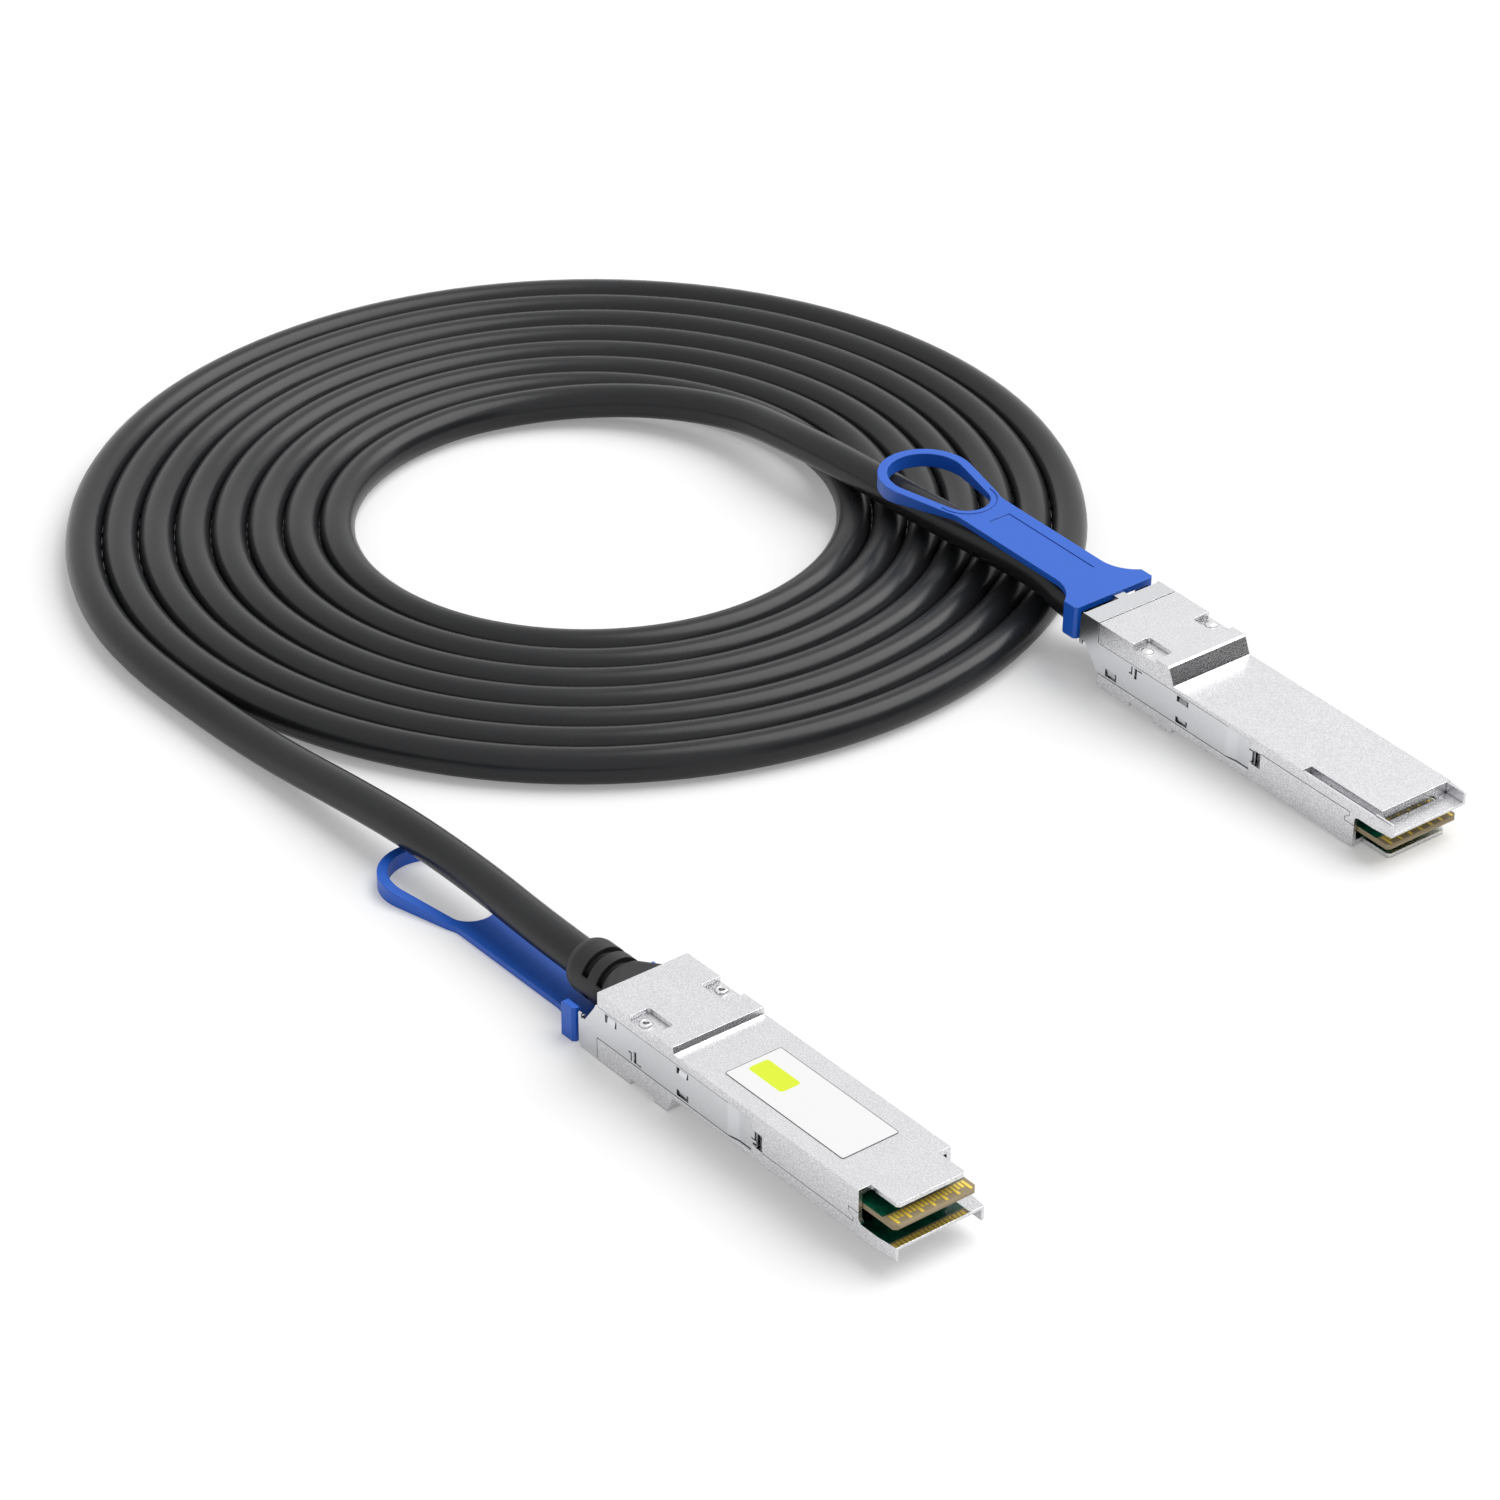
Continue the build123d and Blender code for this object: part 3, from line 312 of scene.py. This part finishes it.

# Die-cast halves: bright plating over a fine cast grain, almost a mirror inside the nose tray, with
# painted shade darkening the colour in seams, crevices and beside other parts
castMetal = {
    "pale": colour(0.89, 0.89, 0.90),
    "dull": colour(0.55, 0.55, 0.57),
    "grain": {"Scale": 3400.0, "Detail": 3.0, "Roughness": 0.6},
    "cloud": {"Scale": 260.0, "Detail": 2.0, "Roughness": 0.5},
    "speckleSpan": (0.38, 0.66),
    "speckleShare": 0.8,
    "roughness": (0.20, 0.34),
    "roughnessSpan": (0.3, 0.7),
    "bump": {"Strength": 0.5, "Distance": 0.06 * mm},
    "paintedShadeReach": 0.5 * mm,
    "paintedShadeSpan": (0.28, 0.80),
    "edgeRadius": 0.14 * mm,
    "trayRear": 60.0 * mm,
    "trayFloor": (1.9 * mm, 2.5 * mm),
    "trayRoughness": 0.07,
}


def castMetalMaterial(end):
    bench = Bench("castMetal_" + end)
    place = bench.modulePlace(end)
    alongModule, _, upModule = bench.split(place)
    low, high = castMetal["trayFloor"]
    outsideTray = 1.0 - (alongModule > castMetal["trayRear"]) * (upModule > low) * (upModule < high)
    grain = bench.noise(place, castMetal["grain"])
    cloud = bench.noise(place, castMetal["cloud"])
    share = castMetal["speckleShare"]
    paleness = bench.ramp(grain, *castMetal["speckleSpan"]) * share + cloud * (1 - share)
    tone = bench.blend(paleness, castMetal["dull"], castMetal["pale"])
    # Painted shade: the base colour turns near-black where ambient occlusion finds seams, crevices
    # or nearby parts
    seamShade = bench.ramp(bench.paintedShadeOcclusion(castMetal["paintedShadeReach"]), *castMetal["paintedShadeSpan"])
    smooth, rough = castMetal["roughness"]
    roughness = bench.ramp(grain, *castMetal["roughnessSpan"], rough, smooth)
    mirror = castMetal["trayRoughness"]
    return bench.finish({
        "Base Color": bench.blend(seamShade, paintedShadeTone, tone),
        "Metallic": 1.0,
        "Roughness": mirror + (roughness - mirror) * outsideTray,
        "Normal": bench.bump(grain * outsideTray, castMetal["bump"],
                             bench.roundEdges(castMetal["edgeRadius"])),
    })


# Stamped sheet: smoother and a little greyer, with painted shade darkening the colour in its seams
# and crevices
sheetMetal = {
    "tone": colour(0.70, 0.71, 0.73),
    "darker": colour(0.64, 0.65, 0.67),
    "grain": {"Scale": 1500.0, "Detail": 2.0, "Roughness": 0.5},
    "roughness": 0.2,
    "bump": {"Strength": 0.3, "Distance": 0.004 * mm},
    "edgeRadius": 0.08 * mm,
    "paintedShadeReach": 0.25 * mm,
    "paintedShadeSpan": (0.25, 0.75),
}


def sheetMetalMaterial():
    bench = Bench("sheetMetal")
    grain = bench.noise(bench.objectPlace(), sheetMetal["grain"])
    # Painted shade: the base colour turns near-black where ambient occlusion finds seams, crevices
    # or nearby parts
    seamShade = bench.ramp(bench.paintedShadeOcclusion(sheetMetal["paintedShadeReach"]), *sheetMetal["paintedShadeSpan"])
    tone = bench.blend(grain, sheetMetal["darker"], sheetMetal["tone"])
    return bench.finish({
        "Base Color": bench.blend(seamShade, paintedShadeTone, tone),
        "Metallic": 1.0,
        "Roughness": sheetMetal["roughness"],
        "Normal": bench.bump(grain, sheetMetal["bump"], bench.roundEdges(sheetMetal["edgeRadius"])),
    })


# Pull tab: satin moulded plastic
tabPlastic = {
    "tone": colour(0.006, 0.115, 0.62),
    "deep": colour(0.004, 0.100, 0.55),
    "roughness": 0.42,
    "grain": {"Scale": 1800.0, "Detail": 3.0, "Roughness": 0.6},
    "cloud": {"Scale": 90.0, "Detail": 2.0, "Roughness": 0.5},
    "bump": {"Strength": 0.35, "Distance": 0.006 * mm},
    "edgeRadius": 0.25 * mm,
}


def tabPlasticMaterial():
    bench = Bench("tabPlastic")
    place = bench.objectPlace()
    grain = bench.noise(place, tabPlastic["grain"])
    cloud = bench.noise(place, tabPlastic["cloud"])
    return bench.finish({
        "Base Color": bench.blend(cloud, tabPlastic["deep"], tabPlastic["tone"]),
        "Roughness": tabPlastic["roughness"],
        "Normal": bench.bump(grain, tabPlastic["bump"], bench.roundEdges(tabPlastic["edgeRadius"])),
    })


# Cable jacket: black, smooth, with a soft sheen
jacket = {
    "tone": colour(0.012, 0.0125, 0.014),
    "worn": colour(0.018, 0.0185, 0.020),
    "roughness": (0.24, 0.32),
    "roughnessSpan": (0.3, 0.7),
    "shine": 0.28,
    "grain": {"Scale": 900.0, "Detail": 3.0, "Roughness": 0.55},
    "cloud": {"Scale": 60.0, "Detail": 3.0, "Roughness": 0.5},
    "bump": {"Strength": 0.25, "Distance": 0.012 * mm},
}


def jacketMaterial():
    bench = Bench("jacket")
    place = bench.objectPlace()
    grain = bench.noise(place, jacket["grain"])
    cloud = bench.noise(place, jacket["cloud"])
    return bench.finish({
        "Base Color": bench.blend(cloud, jacket["tone"], jacket["worn"]),
        "Roughness": bench.ramp(cloud, *jacket["roughnessSpan"], *jacket["roughness"]),
        "Specular IOR Level": jacket["shine"],
        "Normal": bench.bump(grain, jacket["bump"]),
    })


# Boot: softer black rubber
bootRubber = {
    "tone": colour(0.010, 0.010, 0.011),
    "worn": colour(0.016, 0.016, 0.017),
    "roughness": 0.42,
    "shine": 0.35,
    "grain": {"Scale": 1400.0, "Detail": 3.0, "Roughness": 0.6},
    "bump": {"Strength": 0.3, "Distance": 0.015 * mm},
    "edgeRadius": 0.3 * mm,
}


def bootRubberMaterial():
    bench = Bench("bootRubber")
    grain = bench.noise(bench.objectPlace(), bootRubber["grain"])
    return bench.finish({
        "Base Color": bench.blend(grain, bootRubber["tone"], bootRubber["worn"]),
        "Roughness": bootRubber["roughness"],
        "Specular IOR Level": bootRubber["shine"],
        "Normal": bench.bump(grain, bootRubber["bump"], bench.roundEdges(bootRubber["edgeRadius"])),
    })


# Card: green mask on both faces up to the pads, bare board past it and on its edges
card = {
    "mask": colour(0.004, 0.105, 0.055),
    "maskDark": colour(0.003, 0.070, 0.040),
    "board": colour(0.30, 0.235, 0.135),
    "maskEndX": 70.7 * mm,
    "faceLow": 4.72 * mm,
    "faceHigh": 5.68 * mm,
    "boardRoughness": 0.55,
    "maskRoughness": 0.22,
    "trace": {"Scale": 620.0, "Detail": 2.0, "Roughness": 0.4},
    "traceSpan": (0.45, 0.55),
    "bump": {"Strength": 0.2, "Distance": 0.01 * mm},
}


def cardMaterial(end):
    bench = Bench("card_" + end)
    place = bench.modulePlace(end)
    alongModule, _, upModule = bench.split(place)
    trace = bench.noise(place, card["trace"])
    mask = bench.blend(bench.ramp(trace, *card["traceSpan"]), card["maskDark"], card["mask"])
    onFace = bench.sum("MAXIMUM", upModule < card["faceLow"], upModule > card["faceHigh"])
    masked = onFace * (alongModule < card["maskEndX"])
    return bench.finish({
        "Base Color": bench.blend(masked, card["board"], mask),
        "Roughness": bench.ramp(masked, 0.0, 1.0, card["boardRoughness"], card["maskRoughness"]),
        "Normal": bench.bump(trace, card["bump"]),
    })


# Small pieces: one plain finish each
metalBump = {"Strength": 0.2, "Distance": 0.004 * mm}
plainFinishes = {
    "goldPlate": {
        "tone": colour(1.0, 0.76, 0.12), "dark": colour(0.95, 0.68, 0.09),
        "metallic": 0.15, "roughness": 0.35, "grainScale": 3000.0, "bump": metalBump,
    },
    "rivetMetal": {
        "tone": colour(0.80, 0.80, 0.81), "dark": colour(0.70, 0.70, 0.71),
        "metallic": 1.0, "roughness": 0.18, "grainScale": 2500.0, "bump": metalBump,
    },
    "ferruleMetal": {
        "tone": colour(0.62, 0.60, 0.56), "dark": colour(0.5, 0.48, 0.45),
        "metallic": 1.0, "roughness": 0.35, "grainScale": 1500.0, "bump": metalBump,
    },
    "pairFoil": {
        "tone": colour(0.8, 0.8, 0.82), "dark": colour(0.65, 0.65, 0.67),
        "metallic": 1.0, "roughness": 0.3, "grainScale": 900.0, "bump": metalBump,
    },
    "springWire": {
        "tone": colour(0.6, 0.6, 0.62), "dark": colour(0.5, 0.5, 0.52),
        "metallic": 1.0, "roughness": 0.3, "grainScale": 2500.0, "bump": metalBump,
    },
    "chipResin": {
        "tone": colour(0.03, 0.03, 0.032), "dark": colour(0.015, 0.015, 0.016),
        "metallic": 0.0, "roughness": 0.6, "grainScale": 2500.0,
        "bump": {"Strength": 0.3, "Distance": 0.01 * mm},
    },
}


def plainMaterial(name):
    finish = plainFinishes[name]
    bench = Bench(name)
    grain = bench.noise(bench.objectPlace(),
                        {"Scale": finish["grainScale"], "Detail": 2.0, "Roughness": 0.5})
    return bench.finish({
        "Base Color": bench.blend(grain, finish["dark"], finish["tone"]),
        "Metallic": finish["metallic"],
        "Roughness": finish["roughness"],
        "Normal": bench.bump(grain, finish["bump"]),
    })


def dress(piece, material):
    piece.data.materials.clear()
    piece.data.materials.append(material)


nodeFinish = {
    "latch_slider": sheetMetalMaterial(),
    "pull_tab": tabPlasticMaterial(),
    "contact_pads": plainMaterial("goldPlate"),
    "memory_chip": plainMaterial("chipResin"),
    "strain_relief": bootRubberMaterial(),
    "crimp_ferrule": plainMaterial("ferruleMetal"),
    "conductor_pairs": plainMaterial("pairFoil"),
    "return_springs": plainMaterial("springWire"),
}
for end in ends:
    for name, finish in nodeFinish.items():
        dress(nodes[name + "_" + end], finish)
    dress(nodes["paddle_card_" + end], cardMaterial(end))
    castFinish = castMetalMaterial(end)
    for name in ("label_cover", "heat_sink_shell"):
        dress(nodes[name + "_" + end], castFinish)
dress(cablePiece, jacketMaterial())
print("finishes made")


# Return springs: each module's spring mesh made its own copy
for end in ends:
    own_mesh(nodes["return_springs_" + end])


# Rivets, two in a module: a dome on the heat sink side and a hollow flared ring on the label side.
# The names are the inputs of the tree that makes them.
rivet = {
    "Place X": 10.9 * mm,
    "Place Y": 7.65 * mm,
    "Head Radius": 1.15 * mm,
    "Dome Height": 0.45 * mm,
    "Dome Z": -2.55 * mm,
    "Ring Radius": 0.80 * mm,
    "Ring Wire": 0.34 * mm,
    "Ring Z": 8.81 * mm,
    "Shank Radius": 0.70 * mm,
    "Shank Top": 8.0 * mm,
}
rivetSides = 40
rivetsInModule = 2


def rivetTree():
    bench = Bench("rivetPair", True)
    sockets = bench.tree.interface
    for name in rivet:
        sockets.new_socket(name, in_out="INPUT", socket_type="NodeSocketFloat")
    sockets.new_socket("Finish", in_out="INPUT", socket_type="NodeSocketMaterial")
    sockets.new_socket("Geometry", in_out="OUTPUT", socket_type="NodeSocketGeometry")
    given = bench.tree.nodes.new("NodeGroupInput")
    size = {socket.name: Wire(bench, socket) for socket in given.outputs if socket.name}
    ball = bench.node("GeometryNodeMeshUVSphere", None, {
        "Segments": rivetSides, "Rings": rivetSides // 2, "Radius": size["Head Radius"]})
    dome = bench.node("GeometryNodeTransform", None, {
        "Geometry": ball, "Translation": bench.join(0.0, 0.0, size["Dome Z"]),
        "Scale": bench.join(1.0, 1.0, size["Dome Height"] / size["Head Radius"])})

    def circle(sides, radius):
        return bench.node("GeometryNodeCurvePrimitiveCircle", None,
                          {"Resolution": sides, "Radius": radius})

    ring = bench.node("GeometryNodeCurveToMesh", None, {
        "Curve": circle(rivetSides, size["Ring Radius"]),
        "Profile Curve": circle(rivetSides // 2, size["Ring Wire"])})
    ring = bench.node("GeometryNodeTransform", None,
                      {"Geometry": ring, "Translation": bench.join(0.0, 0.0, size["Ring Z"])})
    line = bench.node("GeometryNodeCurvePrimitiveLine", None, {
        "Start": bench.join(0.0, 0.0, size["Dome Z"]),
        "End": bench.join(0.0, 0.0, size["Shank Top"])})
    shank = bench.node("GeometryNodeCurveToMesh", None, {
        "Curve": line,
        "Profile Curve": circle(rivetSides, size["Shank Radius"]),
        "Fill Caps": True})
    one = bench.node("GeometryNodeJoinGeometry", None, {"Geometry": [dome, ring, shank]})
    spots = bench.node("GeometryNodeMeshLine", {"mode": "OFFSET"}, {
        "Count": rivetsInModule,
        "Start Location": bench.join(size["Place X"], 0.0 - size["Place Y"], 0.0),
        "Offset": bench.join(0.0, size["Place Y"] * 2.0, 0.0)})
    both = bench.node("GeometryNodeInstanceOnPoints", None, {"Points": spots, "Instance": one})
    real = bench.node("GeometryNodeRealizeInstances", None, {"Geometry": both})
    smooth = bench.node("GeometryNodeSetShadeSmooth", None, {"Geometry": real})
    done = bench.node("GeometryNodeSetMaterial", None,
                      {"Geometry": smooth, "Material": size["Finish"]})
    result = bench.tree.nodes.new("NodeGroupOutput")
    bench.tree.links.new(done.socket, result.inputs["Geometry"])
    return bench.tree


def grow(tree, values):  # the tree's result as a plain mesh
    holder = bpy.data.objects.new("grower", bpy.data.meshes.new("grower"))
    scene.collection.objects.link(holder)
    modifier = holder.modifiers.new("grower", "NODES")
    modifier.node_group = tree
    for item in tree.interface.items_tree:
        if item.in_out == "INPUT":
            modifier[item.identifier] = values[item.name]
    grown = holder.evaluated_get(bpy.context.evaluated_depsgraph_get())
    mesh = bpy.data.meshes.new_from_object(grown)
    holder.modifiers.remove(modifier)
    bpy.data.objects.remove(holder)
    return mesh


def outward(mesh, matrix):  # faces turned outwards, then set in place
    shape = bmesh.new()
    shape.from_mesh(mesh)
    bmesh.ops.recalc_face_normals(shape, faces=shape.faces)
    shape.transform(matrix)
    shape.to_mesh(mesh)
    shape.free()


rivetNodes = rivetTree()
rivetFinish = plainMaterial("rivetMetal")
for end in ends:
    rivetMesh = grow(rivetNodes, {**rivet, "Finish": rivetFinish})
    outward(rivetMesh, modules[end])
    rivetPair = bpy.data.objects.new("rivet_pair_" + end, rivetMesh)
    scene.collection.objects.link(rivetPair)
    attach(rivetPair, fixedBody)
    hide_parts("rivets_" + end)
print("rivets grown")


# Label on module a: a bare sticker with a thin printed outline and one plain patch
label = {
    "rear": 29.0 * mm,
    "front": 58.4 * mm,
    "left": -6.0 * mm,
    "right": 5.4 * mm,
    "corner": 0.5 * mm,
    "top": 8.5 * mm,
    "thickness": 0.06 * mm,
    "outlineWidth": 0.13 * mm,
    "patchX": (30.3 * mm, 38.8 * mm),
    "patchY": (-2.4 * mm, 1.7 * mm),
    "patchCorner": 0.7 * mm,
    "cornerSteps": 6,
    "paper": colour(0.84, 0.84, 0.84),
    "ink": colour(0.09, 0.09, 0.10),
    "patch": colour(0.70, 0.83, 0.01),
    "roughness": 0.35,
    "grain": {"Scale": 1200.0, "Detail": 2.0, "Roughness": 0.5},
    "bump": {"Strength": 0.1, "Distance": 0.004 * mm},
}


def pastSpan(bench, along, span, corner):  # how far a place lies past the straight part of a side
    straightHalf = (span[1] - span[0]) / 2 - corner
    return bench.sum("MAXIMUM", abs(along - sum(span) / 2) - straightHalf, 0.0)


def depthInside(bench, x, y, xSpan, ySpan, corner):  # distance in from a rounded rectangle's edge
    overX = pastSpan(bench, x, xSpan, corner)
    overY = pastSpan(bench, y, ySpan, corner)
    return corner - bench.sum("SQRT", overX * overX + overY * overY)


def labelMaterial():
    bench = Bench("labelPaper")
    place = bench.modulePlace("a")
    x, y, _ = bench.split(place)
    fromEdge = depthInside(bench, x, y, (label["rear"], label["front"]),
                           (label["left"], label["right"]), label["corner"])
    inPatch = depthInside(bench, x, y, label["patchX"], label["patchY"], label["patchCorner"]) > 0.0
    printed = bench.blend(inPatch, label["paper"], label["patch"])
    return bench.finish({
        "Base Color": bench.blend(fromEdge < label["outlineWidth"], printed, label["ink"]),
        "Roughness": label["roughness"],
        "Normal": bench.bump(bench.noise(place, label["grain"]), label["bump"]),
    })


def makeLabel():
    shape = bmesh.new()
    radius = label["corner"]
    corners = [  # middle of each round corner, and the angle at which its arc starts
        (label["front"] - radius, label["right"] - radius, 0),
        (label["rear"] + radius, label["right"] - radius, 90),
        (label["rear"] + radius, label["left"] + radius, 180),
        (label["front"] - radius, label["left"] + radius, 270),
    ]
    rim = []
    for cornerX, cornerY, start in corners:
        for step in range(label["cornerSteps"] + 1):
            angle = math.radians(start + 90 * step / label["cornerSteps"])
            rim.append(shape.verts.new((cornerX + radius * math.cos(angle),
                                        cornerY + radius * math.sin(angle), label["top"])))
    face = shape.faces.new(rim)
    lifted = bmesh.ops.extrude_face_region(shape, geom=[face])
    raised = [item for item in lifted["geom"] if isinstance(item, bmesh.types.BMVert)]
    bmesh.ops.translate(shape, verts=raised, vec=(0, 0, label["thickness"]))
    bmesh.ops.recalc_face_normals(shape, faces=shape.faces)
    shape.transform(modules["a"])
    mesh = bpy.data.meshes.new("label")
    shape.to_mesh(mesh)
    shape.free()
    piece = bpy.data.objects.new("label", mesh)
    scene.collection.objects.link(piece)
    dress(piece, labelMaterial())
    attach(piece, fixedBody)


makeLabel()
print("label placed")


# Studio: a white floor and surround, one soft lamp from behind, and a dark board that only the
# metal mirrors
studio = {
    "floorSize": 8.0,
    "floorDrop": 0.05 * mm,
    "floorTone": colour(0.96, 0.96, 0.96),
    "floorGlow": 0.25,
    "worldStrength": 0.44,
    "lampFrom": (0.15, 0.55, 0.82),
    "lampSpread": 56.0,
    "lampStrength": 2.55,
    "boardMiddle": (0.45, 0.36, 0.25),
    "boardWidth": 0.90,
    "boardHeight": 0.52,
    "boardTone": colour(0.01, 0.01, 0.01),
    "boardRoughness": 0.9,
}
white = colour(1.0, 1.0, 1.0)
viewRays = ("Is Camera Ray", "Is Glossy Ray", "Is Transmission Ray")


def stagedSheet(name, corners, material):
    mesh = bpy.data.meshes.new(name)
    mesh.from_pydata(corners, [], [(0, 1, 2, 3)])
    sheet = bpy.data.objects.new(name, mesh)
    scene.collection.objects.link(sheet)
    dress(sheet, material)
    return sheet


def makeFloor():
    half = studio["floorSize"] / 2
    height = -studio["floorDrop"]
    bench = Bench("floorPaper")
    path = bench.node("ShaderNodeLightPath").socket.node
    seen = Wire(bench, path.outputs[viewRays[0]])
    for name in viewRays[1:]:
        seen = bench.sum("MAXIMUM", seen, Wire(bench, path.outputs[name]))
    matt = bench.node("ShaderNodeBsdfDiffuse", None, {"Color": studio["floorTone"]})
    glow = bench.node("ShaderNodeEmission", None, {"Color": white, "Strength": 1.0})
    both = bench.node("ShaderNodeMixShader", None,
                      {0: seen * studio["floorGlow"], 1: matt, 2: glow})
    bench.tree.links.new(both.socket, bench.output.inputs["Surface"])
    corners = [(-half, -half, height), (half, -half, height),
               (half, half, height), (-half, half, height)]
    stagedSheet("floor", corners, bench.material)


def makeBoard():
    middle = Vector(studio["boardMiddle"])
    away = Vector((middle.x, middle.y, 0)).normalized()
    across = Vector((-away.y, away.x, 0)) * studio["boardWidth"] / 2
    rise = Vector((0, 0, studio["boardHeight"] / 2))
    bench = Bench("darkBoard")
    bench.finish({
        "Base Color": studio["boardTone"],
        "Roughness": studio["boardRoughness"],
        "Specular IOR Level": 0.0,
    })
    corners = [middle - across - rise, middle + across - rise,
               middle + across + rise, middle - across + rise]
    board = stagedSheet("darkBoard", corners, bench.material)
    board.visible_camera = False
    board.visible_diffuse = False
    board.visible_shadow = False


def makeWorld():
    world = bpy.data.worlds.new("surround")
    scene.world = world
    world.use_nodes = True
    tree = world.node_tree
    tree.nodes.clear()
    output = tree.nodes.new("ShaderNodeOutputWorld")
    background = tree.nodes.new("ShaderNodeBackground")
    background.inputs["Color"].default_value = white
    path = tree.nodes.new("ShaderNodeLightPath")
    seen = path.outputs[viewRays[0]]
    for name in viewRays[1:]:
        either = tree.nodes.new("ShaderNodeMath")
        either.operation = "MAXIMUM"
        tree.links.new(seen, either.inputs[0])
        tree.links.new(path.outputs[name], either.inputs[1])
        seen = either.outputs[0]
    strength = tree.nodes.new("ShaderNodeMapRange")
    strength.inputs["To Min"].default_value = studio["worldStrength"]
    strength.inputs["To Max"].default_value = 1.0
    tree.links.new(seen, strength.inputs["Value"])
    tree.links.new(strength.outputs[0], background.inputs["Strength"])
    tree.links.new(background.outputs[0], output.inputs["Surface"])


def makeLamp():
    data = bpy.data.lights.new("softLamp", "SUN")
    data.angle = math.radians(studio["lampSpread"])
    data.energy = studio["lampStrength"]
    lamp = bpy.data.objects.new("softLamp", data)
    scene.collection.objects.link(lamp)
    lamp.rotation_euler = Vector(studio["lampFrom"]).to_track_quat("Z", "Y").to_euler()


makeFloor()
makeBoard()
makeWorld()
makeLamp()
scene.view_settings.view_transform = "Standard"
print("studio set")

bpy.context.view_layer.update()
